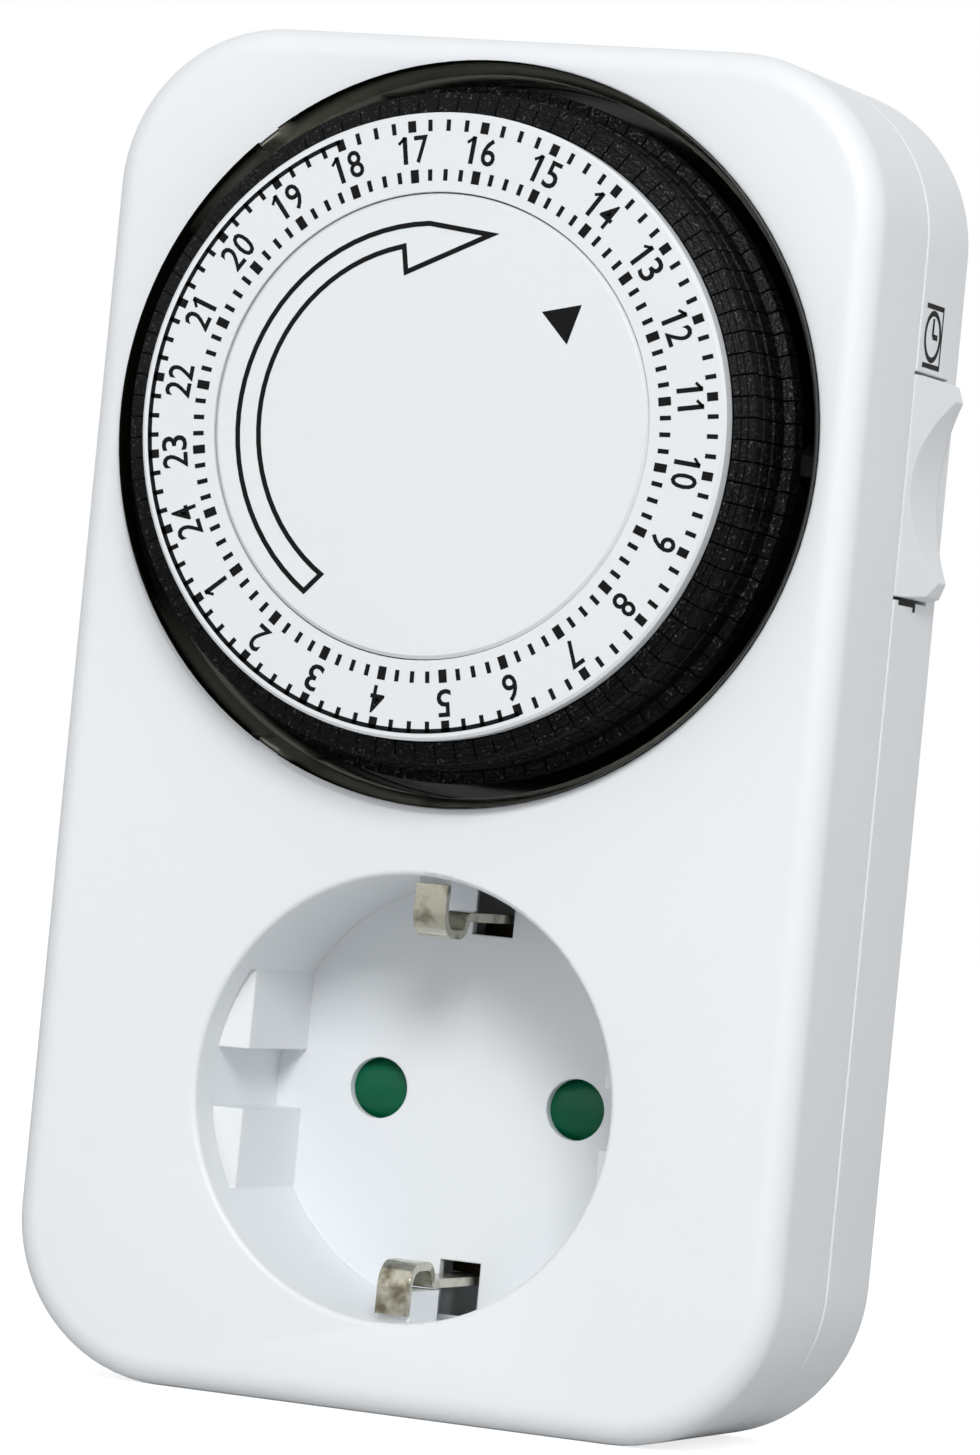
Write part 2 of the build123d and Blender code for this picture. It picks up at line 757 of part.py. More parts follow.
with BuildPart() as gear_arbors:
    with BuildSketch(facing(y_plate + plate_thick, out_x, dial_z + out_z)):
        Circle(arbor_r)
    extrude(amount=y_plate + plate_thick - web_back - 0.4)
    with BuildSketch(facing(y_plate + plate_thick, mid_x, dial_z + mid_z)):
        Circle(arbor_r)
    extrude(amount=y_plate + plate_thick - y_well_back)
write(gear_arbors, "gear_arbors")

with BuildPart() as gear_plate:
    with BuildSketch(facing(y_plate + plate_thick, z=dial_z)):
        with Locations(*post_places):
            Circle(gear_post_r + 1.2)
        with Locations((out_x, out_z), (mid_x, mid_z), (mot_x, mot_z)):
            Circle(4.5)
        make_hull()
        with Locations((out_x, out_z), (mid_x, mid_z)):
            Circle(arbor_r, mode=Mode.SUBTRACT)
        with Locations((mot_x, mot_z)):
            Circle(arbor_r + running_gap, mode=Mode.SUBTRACT)
        with Locations(*post_places):
            Circle(gear_screw_r, mode=Mode.SUBTRACT)
    extrude(amount=plate_thick)
write(gear_plate, "gear_plate")

with BuildPart() as gear_plate_screws:
    with BuildSketch(facing(y_plate + plate_thick, z=dial_z)):
        with Locations(*post_places):
            Circle(gear_screw_r)
    extrude(amount=plate_thick + 4.5)
    with BuildSketch(facing(y_plate + plate_thick + 1.0, z=dial_z)):
        with Locations(*post_places):
            Circle(1.7)
    extrude(amount=1.0)
    with BuildSketch(facing(y_plate + plate_thick + 1.0, z=dial_z)):
        with Locations(*post_places):
            Rectangle(3.6, 0.5)
    extrude(amount=0.5, mode=Mode.SUBTRACT)
write(gear_plate_screws, "gear_plate_screws")

# ---- synchronous motor: steel can, coil, magnet rotor and end plate ----

y_motor = y_plate + plate_thick
y_can_back = y_motor + motor_depth

with BuildPart() as motor_can:
    with BuildSketch(facing(y_can_back, *motor_centre)):
        Circle(motor_r)
    extrude(amount=motor_depth - can_sheet)
    chamfer(motor_can.faces().sort_by(Axis.Y)[-1].edges(), 0.4)
    with BuildSketch(facing(y_can_back - can_sheet, *motor_centre)):
        Circle(motor_r - can_sheet)
    extrude(amount=motor_depth - 2 * can_sheet, mode=Mode.SUBTRACT)
    with BuildSketch(facing(y_can_back - can_sheet, *motor_centre)):
        Circle(1.6)
        Circle(arbor_r, mode=Mode.SUBTRACT)
    extrude(amount=1.0)
write(motor_can, "motor_can")

with BuildPart() as motor_end_plate:
    with BuildSketch(facing(y_motor + can_sheet, *motor_centre)):
        Circle(motor_r)
        Circle(arbor_r + running_gap, mode=Mode.SUBTRACT)
    extrude(amount=can_sheet)
write(motor_end_plate, "motor_end_plate")

with BuildPart() as motor_coil:
    with BuildSketch(level(dial_z + mot_z, x=mot_x)):
        with BuildLine():
            Polyline(
                (rotor_r + 0.8, y_motor + can_sheet),
                (motor_r - can_sheet, y_motor + can_sheet),
                (motor_r - can_sheet, y_motor + can_sheet + 0.6),
                (motor_r - 1.6, y_motor + can_sheet + 0.6),
                (motor_r - 1.6, y_can_back - can_sheet - 0.6),
                (motor_r - can_sheet, y_can_back - can_sheet - 0.6),
                (motor_r - can_sheet, y_can_back - can_sheet),
                (rotor_r + 0.8, y_can_back - can_sheet),
                close=True,
            )
        make_face()
    revolve(axis=Axis((mot_x, 0, dial_z + mot_z), (0, 1, 0)))
write(motor_coil, "motor_coil")

with BuildPart() as motor_rotor:
    with BuildSketch(facing(y_can_back - can_sheet - 1.2, *motor_centre)):
        Circle(rotor_r)
    extrude(amount=motor_depth - 2 * can_sheet - 2.0)
    with BuildSketch(facing(y_can_back - can_sheet, *motor_centre)):
        Circle(arbor_r - running_gap)
    extrude(amount=motor_depth - 2 * can_sheet - 0.3)
write(motor_rotor, "motor_rotor")

# ---- follower lever, its pin and the microswitch ----

lever_width = 2.4
lever_thick = 1.2
lever_face = y_lever_pivot - lever_thick / 2
nose_tip = tappet_end + tappet_travel + 0.2
lever_arm = 6.0
plunger_z = 4.2
y_switch = lever_face + lever_thick + 2.3
switch_centre_x = 27.3
switch_width = 7.6
switch_low = -6.0
switch_high = 12.0
plunger_r = 0.9

with BuildPart() as follower_lever:
    with BuildSketch(across(follower_r - lever_width / 2)):
        with BuildLine():
            Polyline(
                (lever_face, dial_z + lever_pivot_z),
                (lever_face, dial_z + 2.6),
                (nose_tip, dial_z + 0.9),
                (nose_tip, dial_z - 0.9),
                (lever_face, dial_z - 2.6),
                (lever_face, dial_z - lever_arm),
                (lever_face + lever_thick, dial_z - lever_arm),
                (lever_face + lever_thick, dial_z + lever_pivot_z),
                close=True,
            )
        make_face()
        with Locations((y_lever_pivot, dial_z + lever_pivot_z)):
            Circle(1.6)
        with Locations((y_lever_pivot, dial_z + lever_pivot_z)):
            Circle(lever_pin_r + running_gap, mode=Mode.SUBTRACT)
    extrude(amount=lever_width)
write(follower_lever, "follower_lever")

with BuildPart() as follower_pin:
    with BuildSketch(across(follower_r - 2.8)):
        with Locations((y_lever_pivot, dial_z + lever_pivot_z)):
            Circle(lever_pin_r)
    extrude(amount=5.5)
write(follower_pin, "follower_pin")

with BuildPart() as microswitch_case:
    with BuildSketch(facing(y_inner_back, switch_centre_x, dial_z)):
        with Locations((0, (switch_low + switch_high) / 2)):
            Rectangle(switch_width, switch_high - switch_low)
    extrude(amount=y_inner_back - y_switch)
    chamfer(microswitch_case.faces().sort_by(Axis.Y)[0].edges(), 0.5)
    with BuildSketch(facing(y_inner_back - 1.0, follower_r, dial_z)):
        with Locations((0, plunger_z)):
            Circle(plunger_r + running_gap)
    extrude(amount=y_inner_back - 1.0 - y_switch, mode=Mode.SUBTRACT)
write(microswitch_case, "microswitch_case")

with BuildPart() as microswitch_plunger:
    with BuildSketch(facing(y_switch + 3.0, follower_r, dial_z)):
        with Locations((0, plunger_z)):
            Circle(plunger_r)
    extrude(amount=y_switch + 3.0 - lever_face - lever_thick - 0.08)
    chamfer(microswitch_plunger.faces().sort_by(Axis.Y)[0].edges(), 0.25)
write(microswitch_plunger, "microswitch_plunger")

# ---- safety shutter: green ridged wings behind the pin holes, pushed aside by both pins at once ----

wing_half = pin_hole_r + 0.65
wing_flat = 1.5
wing_reach = pin_x + pin_hole_r + 1.0

with BuildPart() as safety_shutter:
    with BuildSketch(facing(y_shutter_back)):
        Circle(4.2)
    extrude(amount=shutter_thick)
    with BuildSketch(Plane(origin=(-wing_reach, 0, 0), x_dir=(0, 0, 1), z_dir=(1, 0, 0))):
        with BuildLine():
            Polyline(
                (-wing_flat, -(y_shutter - 0.2)),
                (wing_flat, -(y_shutter - 0.2)),
                (wing_half, -(y_shutter + 0.8)),
                (wing_half, -y_shutter_back),
                (-wing_half, -y_shutter_back),
                (-wing_half, -(y_shutter + 0.8)),
                close=True,
            )
        make_face()
    extrude(amount=2 * wing_reach)
    with BuildSketch(facing(y_shutter_back)):
        Circle(pivot_r + running_gap)
    extrude(amount=shutter_thick + 0.4, mode=Mode.SUBTRACT)
write(safety_shutter, "safety_shutter")

with BuildPart() as shutter_spring:
    with BuildSketch(level(0)):
        for turn in range(2):
            with Locations((2.2, y_shutter_back + 0.22 + 0.32 * turn)):
                RegularPolygon(0.2, 6)
    revolve(axis=Axis((0, 0, 0), (0, 1, 0)))
write(shutter_spring, "shutter_spring")

with BuildPart() as shutter_retainer:
    with BuildSketch(facing(y_retainer + retainer_thick)):
        Circle(14.0)
        with GridLocations(pin_pitch, 0, 2, 1):
            Circle(pin_hole_r, mode=Mode.SUBTRACT)
        Circle(pivot_r, mode=Mode.SUBTRACT)
    extrude(amount=retainer_thick)
write(shutter_retainer, "shutter_retainer")

# ---- earth straps: clip in the socket, contact on the plug, joined by a bridge ----

y_strap_end = -1.0
y_strap_front = y_face + strap_front + strap_thick / 2


def earth_strap(side):
    """Bent strip from the curled clip in the socket's mouth to the groove in the plug barrel."""
    with BuildPart(mode=Mode.PRIVATE) as strap:
        with BuildLine(across(0)) as path:
            FilletPolyline(
                (y_strap_front, side * (recess_r - 0.6)),
                (y_strap_front, side * strap_hump_z),
                (y_strap_front + strap_hump_length, side * strap_hump_z),
                (y_strap_front + strap_hump_length + 0.6, side * strap_z),
                (y_strap_end, side * strap_z),
                radius=(1.9, 1.6, 0.7),
            )
        with BuildSketch(Plane(origin=path.line @ 0, x_dir=(1, 0, 0), z_dir=path.line % 0)):
            Rectangle(strap_width, strap_thick)
        sweep()
    return strap.part


with BuildPart() as earth_strap_upper:
    add(earth_strap(1))
write(earth_strap_upper, "earth_strap_upper")

with BuildPart() as earth_strap_lower:
    add(earth_strap(-1))
write(earth_strap_lower, "earth_strap_lower")

y_bridge = y_retainer + retainer_thick + strap_thick
with BuildPart() as earth_bridge:
    with BuildSketch(facing(y_bridge)):
        Rectangle(5.0, 2 * (strap_z - strap_thick / 2))
    extrude(amount=strap_thick)
write(earth_bridge, "earth_bridge")

# ---- mains contacts and plug pins in their carrier ----

tube_r = 3.3
tube_bore = pin_r + running_gap
y_tube = y_bridge
y_tube_back = y_recess + pin_length + 0.7
y_pin_head = -plug_end_wall - pin_head


def contact_tube(x):
    """Sleeve that grips a pin, slit lengthwise, closed at its back end."""
    with BuildPart(mode=Mode.PRIVATE) as tube:
        with BuildSketch(facing(y_tube_back, x=x)):
            Circle(tube_r)
        extrude(amount=y_tube_back - y_tube)
        with BuildSketch(facing(y_tube_back - 0.6, x=x)):
            Circle(tube_bore)
        extrude(amount=y_tube_back - 0.6 - y_tube, mode=Mode.SUBTRACT)
        with BuildSketch(facing(y_tube_back - 3.0, x=x)):
            Rectangle(0.8, 2.1 * tube_r)
        extrude(amount=y_tube_back - 3.0 - y_tube, mode=Mode.SUBTRACT)
    return tube.part


with BuildPart() as live_contact:
    add(contact_tube(pin_x))
write(live_contact, "live_contact")

with BuildPart() as neutral_contact:
    add(contact_tube(-pin_x))
    with BuildSketch(facing(y_pin_head, x=-pin_x)):
        Circle(1.4)
    extrude(amount=y_pin_head - y_tube_back)
write(neutral_contact, "neutral_contact")

feed_inner = pin_x + tube_r + 0.4
feed_thick = 0.7
feed_width = 4.0
y_carrier = y_bridge + 0.6

with BuildPart() as contact_carrier:
    with BuildSketch(facing(y_pin_head)):
        Circle(cavity_r - joint_gap)
        Rectangle(2 * (cavity_flat - joint_gap), 2 * (cavity_top - joint_gap), mode=Mode.INTERSECT)
    extrude(amount=y_pin_head - y_carrier)
    with BuildSketch(facing(y_tube_back)):
        with GridLocations(pin_pitch, 0, 2, 1):
            Circle(tube_r)
    extrude(amount=y_tube_back - y_carrier, mode=Mode.SUBTRACT)
    with BuildSketch(facing(y_pin_head, x=-pin_x)):
        Circle(1.4)
    extrude(amount=y_pin_head - y_tube_back, mode=Mode.SUBTRACT)
    with BuildSketch(facing(y_pin_head)):
        with Locations(((feed_inner + cavity_flat) / 2 + 0.5, 0)):
            Rectangle(cavity_flat - feed_inner + 1.0, feed_width + 0.4)
    extrude(amount=y_pin_head - y_carrier, mode=Mode.SUBTRACT)
write(contact_carrier, "contact_carrier")


def plug_pin(x):
    """Round plug pin with a domed tip and a head behind the barrel's end wall."""
    with BuildPart(mode=Mode.PRIVATE) as pin:
        with BuildSketch(facing(pin_length, x=x)):
            Circle(pin_r)
        extrude(amount=pin_length + pin_collar)
        fillet(pin.faces().sort_by(Axis.Y)[-1].edges(), pin_tip_r)
        chamfer(pin.faces().sort_by(Axis.Y)[0].edges(), pin_collar)
        with BuildSketch(facing(0, x=x)):
            Circle(pin_neck_r)
        extrude(amount=plug_end_wall)
        with BuildSketch(facing(-plug_end_wall, x=x)):
            Circle(pin_head_r)
        extrude(amount=pin_head)
    return pin.part


with BuildPart() as live_pin:
    add(plug_pin(pin_x))
write(live_pin, "live_pin")

with BuildPart() as neutral_pin:
    add(plug_pin(-pin_x))
write(neutral_pin, "neutral_pin")

# ---- bus bars from the live pin to the microswitch and back to the live contact ----

bar_thick = 0.6
feed_x = 28.3
y_bar = y_inner_back - 0.1
switch_bottom = dial_z + switch_low
switch_left = switch_centre_x - switch_width / 2
tail_x = pin_x + pin_head_r
y_tail = y_pin_head + bar_thick

with BuildPart() as live_feed_bar:
    # From the side of the pin's head forward along the barrel, then across to the right.
    with BuildSketch(level(-feed_width / 2)):
        with BuildLine():
            Polyline(
                (tail_x, y_tail),
                (tail_x, y_pin_head),
                (feed_inner, y_pin_head),
                (feed_inner, y_bar - bar_thick),
                (feed_x + feed_width / 2, y_bar - bar_thick),
                (feed_x + feed_width / 2, y_bar),
                (feed_inner + feed_thick, y_bar),
                (feed_inner + feed_thick, y_tail),
                close=True,
            )
        make_face()
    extrude(amount=feed_width)
    # Up to the lower end of the microswitch.
    with BuildSketch(facing(y_bar, x=feed_x)):
        with Locations((0, switch_bottom / 2)):
            Rectangle(feed_width, switch_bottom)
    extrude(amount=bar_thick)
write(live_feed_bar, "live_feed_bar")

out_width = 3.0
out_low = tube_bore + 0.2

with BuildPart() as switched_live_bar:
    with BuildSketch(facing(y_bridge)):
        with Locations((switch_left - out_width / 2, (out_low + dial_z) / 2)):
            Rectangle(out_width, dial_z - out_low)
        with Locations(((pin_x + switch_left) / 2, out_low + out_width / 2)):
            Rectangle(switch_left - pin_x, out_width)
    extrude(amount=bar_thick)
write(switched_live_bar, "switched_live_bar")
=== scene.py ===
from math import cos, pi, radians, sin

import bmesh
import bpy
from mathutils import Matrix, Vector


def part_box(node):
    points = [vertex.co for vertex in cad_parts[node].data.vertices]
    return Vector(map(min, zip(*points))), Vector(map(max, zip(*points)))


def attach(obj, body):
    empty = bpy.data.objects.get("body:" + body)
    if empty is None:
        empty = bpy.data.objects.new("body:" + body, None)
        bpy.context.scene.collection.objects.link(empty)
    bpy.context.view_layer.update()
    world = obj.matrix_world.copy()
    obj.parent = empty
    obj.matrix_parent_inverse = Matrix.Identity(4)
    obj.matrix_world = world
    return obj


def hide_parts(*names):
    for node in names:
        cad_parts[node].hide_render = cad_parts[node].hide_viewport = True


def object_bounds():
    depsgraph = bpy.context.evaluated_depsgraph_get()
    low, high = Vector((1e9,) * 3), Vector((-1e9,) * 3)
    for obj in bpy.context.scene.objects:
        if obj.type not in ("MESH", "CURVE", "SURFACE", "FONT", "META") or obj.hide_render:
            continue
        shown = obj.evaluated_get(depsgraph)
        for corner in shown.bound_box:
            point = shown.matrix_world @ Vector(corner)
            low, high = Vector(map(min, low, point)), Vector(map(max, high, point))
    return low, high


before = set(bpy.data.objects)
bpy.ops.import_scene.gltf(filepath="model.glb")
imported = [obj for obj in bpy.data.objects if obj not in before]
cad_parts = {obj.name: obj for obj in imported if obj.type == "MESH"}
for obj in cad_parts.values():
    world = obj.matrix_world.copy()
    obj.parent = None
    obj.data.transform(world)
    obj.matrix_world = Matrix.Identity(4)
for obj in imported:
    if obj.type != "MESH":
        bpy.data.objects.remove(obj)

cad_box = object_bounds()
bpy.context.scene.view_settings.view_transform = "Standard"

# ---- camera ----
# A long lens, 0.59 m in front of the plug face, 0.22 m to the right of the socket's axis and 25 mm
# above it. It is turned 22 degrees to the left and rolled by 5.6 degrees.
camera_data = bpy.data.cameras.new("camera")
camera_data.sensor_fit = "VERTICAL"
camera_data.sensor_height = 36.0
camera_data.lens = 168.92
camera = bpy.data.objects.new("camera", camera_data)
bpy.context.collection.objects.link(camera)
right = Vector((0.9246397, 0.3683069, 0.0969094))
up = Vector((-0.0848961, -0.0487250, 0.9951977))
look = Vector((-0.3712601, 0.9284266, 0.0137853))
turned = Matrix((right, up, -look)).transposed().to_4x4()
camera.matrix_world = Matrix.Translation((0.22484, -0.59320, 0.02472)) @ turned
bpy.context.scene.camera = camera

# ---- housing shells and override rocker ----
# Two injection-moulded ABS shells and a rocker in the same white, screwed together from behind.
# The tool is fine spark-eroded: satin, with a soft grain, and nearly sharp edges at the joints.


def linear(code):
    """Linear RGBA of an sRGB hex colour."""
    parts = [int(code[i : i + 2], 16) / 255 for i in (1, 3, 5)]
    return [p / 12.92 if p <= 0.04045 else ((p + 0.055) / 1.055) ** 2.4 for p in parts] + [1.0]


def add_node(tree, kind, settings=None, **inputs):
    """Add a node with its settings; an input is a value or an output, its name with _ for spaces."""
    new = tree.nodes.new(kind)
    for name, value in (settings or {}).items():
        setattr(new, name, value)
    for name, value in inputs.items():
        socket = new.inputs[int(name[1:])] if name[1:].isdigit() else new.inputs[name.replace("_", " ")]
        if isinstance(value, bpy.types.NodeSocket):
            tree.links.new(value, socket)
        else:
            socket.default_value = value
    return new


def new_finish(name, **values):
    """A material with a Principled shader; returns the material, its tree and the shader."""
    finish = bpy.data.materials.new(name)
    finish.use_nodes = True
    tree = finish.node_tree
    shader = tree.nodes["Principled BSDF"]
    for key, value in values.items():
        shader.inputs[key.replace("_", " ")].default_value = value
    return finish, tree, shader


weld_distance = 0.000002


def finish_node(name, finish, sharpest=30):
    """Give a node of the model its finish and smooth its round faces, keeping edges over some degrees."""
    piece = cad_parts[name]
    piece.data.materials.clear()
    piece.data.materials.append(finish)
    piece.data.polygons.foreach_set("use_smooth", [True] * len(piece.data.polygons))
    weld = piece.modifiers.new("weld", "WELD")
    weld.merge_threshold = weld_distance
    split = piece.modifiers.new("edges", "EDGE_SPLIT")
    split.split_angle = radians(sharpest)


housing_abs, tree, shader = new_finish("moulded_white_abs", IOR=1.53, Roughness=0.42)
place = add_node(tree, "ShaderNodeTexCoord").outputs["Object"]
# Flow of the melt: a cloud about 25 mm wide that shifts the white by a percent.
flow = add_node(tree, "ShaderNodeTexNoise", Vector=place, Scale=40.0, Detail=2.0)
white = add_node(
    tree, "ShaderNodeMix", {"data_type": "RGBA"},
    i0=flow.outputs["Fac"], i6=linear("#E6EAED"), i7=linear("#EDF0F3"),
)
tree.links.new(white.outputs[2], shader.inputs["Base Color"])
# Eroded grain, finer than shows on the real one, drawn at 0.35 mm so that it shows.
grain = add_node(tree, "ShaderNodeTexNoise", Vector=place, Scale=2800.0, Detail=3.0, Roughness=0.6)
edge = add_node(tree, "ShaderNodeBevel", {"samples": 6}, Radius=0.00025)
relief = add_node(
    tree, "ShaderNodeBump", Strength=0.10, Distance=0.00003,
    Height=grain.outputs["Fac"], Normal=edge.outputs["Normal"],
)
tree.links.new(relief.outputs["Normal"], shader.inputs["Normal"])
gloss = add_node(tree, "ShaderNodeMapRange", Value=grain.outputs["Fac"], To_Min=0.38, To_Max=0.5)
tree.links.new(gloss.outputs["Result"], shader.inputs["Roughness"])
finish_node("front_housing", housing_abs)
finish_node("rear_housing", housing_abs)
# The dished finger surface and its slope to the seam meet at a shallow edge.
finish_node("override_rocker", housing_abs, 10)

# ---- signs beside the rocker ----
# Small pad-printed generic signs on the right wall: a clock in a frame above the rocker, and a short
# bar with a leg below it.

wall_x = 0.0360
ink_rise = 0.00002

printing_ink, tree, shader = new_finish("pad_printing_ink", IOR=1.5, Roughness=0.6, Specular_IOR_Level=0.12)
place = add_node(tree, "ShaderNodeTexCoord").outputs["Object"]
# Uneven cover of the ink, cells of about 0.6 mm.
cover = add_node(tree, "ShaderNodeTexNoise", Vector=place, Scale=1600.0, Detail=2.0)
black = add_node(
    tree, "ShaderNodeMix", {"data_type": "RGBA"},
    i0=cover.outputs["Fac"], i6=linear("#050506"), i7=linear("#121214"),
)
tree.links.new(black.outputs[2], shader.inputs["Base Color"])


def place_print(name, mesh, finish, body):
    """Turn a finished bmesh into an object that rides on a body."""
    data = bpy.data.meshes.new(name)
    mesh.to_mesh(data)
    mesh.free()
    data.materials.append(finish)
    piece = bpy.data.objects.new(name, data)
    bpy.context.collection.objects.link(piece)
    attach(piece, body)
    return piece


def print_bar(mesh, centre, along, across, length, width):
    """One printed rectangle; along and across span it, and along x across is the side that shows."""
    out = along.cross(across)
    frame_of_bar = Matrix((along * length, across * width, out)).transposed().to_4x4()
    bmesh.ops.create_grid(
        mesh, x_segments=1, y_segments=1, size=0.5, matrix=Matrix.Translation(centre) @ frame_of_bar
    )


back, over = Vector((0, 1, 0)), Vector((0, 0, 1))
signs = bmesh.new()
# Bars of both signs, in millimetres: place along Y and Z, length along Y, height along Z.
for y, z, length, height in (
    (-25.9, 73.3, 4.8, 0.45),  # frame of the clock, upper bar
    (-25.9, 68.1, 4.8, 0.45),  # frame, lower bar
    (-23.65, 70.7, 0.3, 5.2),  # frame, thin line towards the back
    (-26.1, 71.5, 0.5, 1.6),  # hand that points up
    (-25.45, 70.7, 1.3, 0.5),  # hand that points back
    (-26.1, 47.25, 4.7, 0.5),  # bar below the rocker
    (-24.1, 46.8, 0.7, 0.4),  # its leg
):
    centre = Vector((wall_x + ink_rise, y / 1000, z / 1000))
    print_bar(signs, centre, back, over, length / 1000, height / 1000)
# Rim of the clock: a ring spun about its centre.
clock = Vector((wall_x + ink_rise, -0.0261, 0.0707))
rim_radii = (0.0018, 0.0023)
start = [signs.verts.new(clock + back * r) for r in rim_radii]
line = signs.edges.new(start)
bmesh.ops.spin(signs, geom=start + [line], cent=clock, axis=(1, 0, 0), angle=2 * pi, steps=40, use_merge=True)
bmesh.ops.recalc_face_normals(signs, faces=signs.faces[:])
for face in signs.faces:
    if face.normal.x < 0:
        face.normal_flip()
place_print("side_signs", signs, printing_ink, "housing")

# ---- dial well ----
# Smoked, olive-grey polycarbonate cup, polished inside and out, with the dial's hub and the posts of the gear
# plate moulded on. Its rim slopes from the outer edge down into the cup. Light and shade are painted into the
# tint by place: painted light, pale, above and below the dial, and painted shade, dark, at both sides, along
# the edge and on the floor.

dial_axis_z = 0.0581

smoked, tree, shader = new_finish("smoked_polycarbonate", IOR=1.585, Roughness=0.12, Transmission_Weight=0.3)
place = add_node(tree, "ShaderNodeTexCoord").outputs["Object"]
# Tint a little uneven over about 20 mm. Its pale olive is partly the smoke's own colour and partly painted
# light, where the cup looks lit above and below the dial.
tint = add_node(tree, "ShaderNodeTexNoise", Vector=place, Scale=50.0, Detail=2.0)
smoke_with_painted_light = add_node(
    tree, "ShaderNodeMix", {"data_type": "RGBA"},
    i0=tint.outputs["Fac"], i6=linear("#A09F92"), i7=linear("#BDBCAD"),
)
# Shares of painted shade, of which the largest counts: the floor, both sides, and the outermost 0.3 mm of the
# wall. Each pair gives the places in metres between which the tint changes.
floor_shade_depths, side_shade_heights, edge_shade_radii = (-0.0358, -0.0348), (0.016, 0.023), (0.0323, 0.0325)
depth = add_node(tree, "ShaderNodeSeparateXYZ", Vector=place)
floor_shade_share = add_node(
    tree, "ShaderNodeMapRange", Value=depth.outputs["Y"], From_Min=floor_shade_depths[0], From_Max=floor_shade_depths[1]
)
from_axis = add_node(tree, "ShaderNodeMapping", Vector=place, Location=(0, 0, -dial_axis_z), Scale=(1, 0, 1))
height = add_node(tree, "ShaderNodeSeparateXYZ", Vector=from_axis.outputs["Vector"])
beside = add_node(tree, "ShaderNodeMath", {"operation": "ABSOLUTE"}, i0=height.outputs["Z"])
side_shade_share = add_node(
    tree, "ShaderNodeMapRange", Value=beside.outputs[0],
    From_Min=side_shade_heights[0], From_Max=side_shade_heights[1], To_Min=1.0, To_Max=0.0,
)
reach = add_node(tree, "ShaderNodeVectorMath", {"operation": "LENGTH"}, i0=from_axis.outputs["Vector"])
edge_shade_share = add_node(
    tree, "ShaderNodeMapRange", Value=reach.outputs["Value"], From_Min=edge_shade_radii[0], From_Max=edge_shade_radii[1]
)
floor_or_side_shade = add_node(
    tree, "ShaderNodeMath", {"operation": "MAXIMUM"},
    i0=floor_shade_share.outputs["Result"], i1=side_shade_share.outputs["Result"],
)
painted_shade_share = add_node(
    tree, "ShaderNodeMath", {"operation": "MAXIMUM"}, i0=floor_or_side_shade.outputs[0], i1=edge_shade_share.outputs["Result"]
)
# Painted shade: the tint turns nearly black where the largest share is high.
painted_shade_tint = add_node(
    tree, "ShaderNodeMix", {"data_type": "RGBA"},
    i0=painted_shade_share.outputs[0], i6=smoke_with_painted_light.outputs[2], i7=linear("#14140F"),
)
tree.links.new(painted_shade_tint.outputs[2], shader.inputs["Base Color"])
# The edge with painted shade also reflects less than the rest.
shine = add_node(tree, "ShaderNodeMapRange", Value=edge_shade_share.outputs["Result"], To_Min=0.3, To_Max=0.04)
tree.links.new(shine.outputs["Result"], shader.inputs["Specular IOR Level"])
# Fine scratches round the wall, 0.25 mm apart and 3 mm long.
scratch_place = add_node(tree, "ShaderNodeMapping", Vector=place, Scale=(300.0, 4000.0, 300.0))
scratches = add_node(
    tree, "ShaderNodeTexNoise", Vector=scratch_place.outputs["Vector"], Scale=1.0, Detail=3.0
)
edge = add_node(tree, "ShaderNodeBevel", {"samples": 6}, Radius=0.00015)
relief = add_node(
    tree, "ShaderNodeBump", Strength=0.08, Distance=0.00002,
    Height=scratches.outputs["Fac"], Normal=edge.outputs["Normal"],
)
tree.links.new(relief.outputs["Normal"], shader.inputs["Normal"])
# A copy of the cup whose inner rim corner is moved deeper, which makes the slope.
rim_front, rim_inner, rim_slope = -0.0446, 0.0317, 0.0065
same_radius, same_depth = 0.00003, 0.00002
cup = bmesh.new()
cup.from_mesh(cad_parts["dial_well"].data)
bmesh.ops.remove_doubles(cup, verts=cup.verts[:], dist=weld_distance)
for corner in cup.verts:
    radius = (Vector((corner.co.x, 0, corner.co.z)) - Vector((0, 0, dial_axis_z))).length
    if abs(radius - rim_inner) < same_radius and abs(corner.co.y - rim_front) < same_depth:
        corner.co.y += rim_slope
for face in cup.faces:
    face.smooth = True
for edge in cup.edges:
    edge.smooth = edge.calc_face_angle(0) < radians(30)
cup_data = bpy.data.meshes.new("smoked_cup")
cup.to_mesh(cup_data)
cup.free()
cup_data.materials.append(smoked)
smoked_cup = bpy.data.objects.new("smoked_cup", cup_data)
bpy.context.collection.objects.link(smoked_cup)
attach(smoked_cup, "housing")
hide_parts("dial_well")

# ---- tappets and their carrier ----
# 96 black ABS segments, each stepped like a stair, sliding in slots of a black carrier that turns with the
# dial. The moulded surface is rough, with grey specks painted on as glints.

black_abs, tree, shader = new_finish("eroded_black_abs", IOR=1.53, Roughness=0.3, Specular_IOR_Level=0.12)
place = add_node(tree, "ShaderNodeTexCoord").outputs["Object"]
# Craters of the eroded tool, drawn at 0.26 mm so that they show.
craters = add_node(tree, "ShaderNodeTexNoise", Vector=place, Scale=3800.0, Detail=3.0, Roughness=0.6)
shade = add_node(
    tree, "ShaderNodeMix", {"data_type": "RGBA"},
    i0=craters.outputs["Fac"], i6=linear("#020202"), i7=linear("#070708"),
)
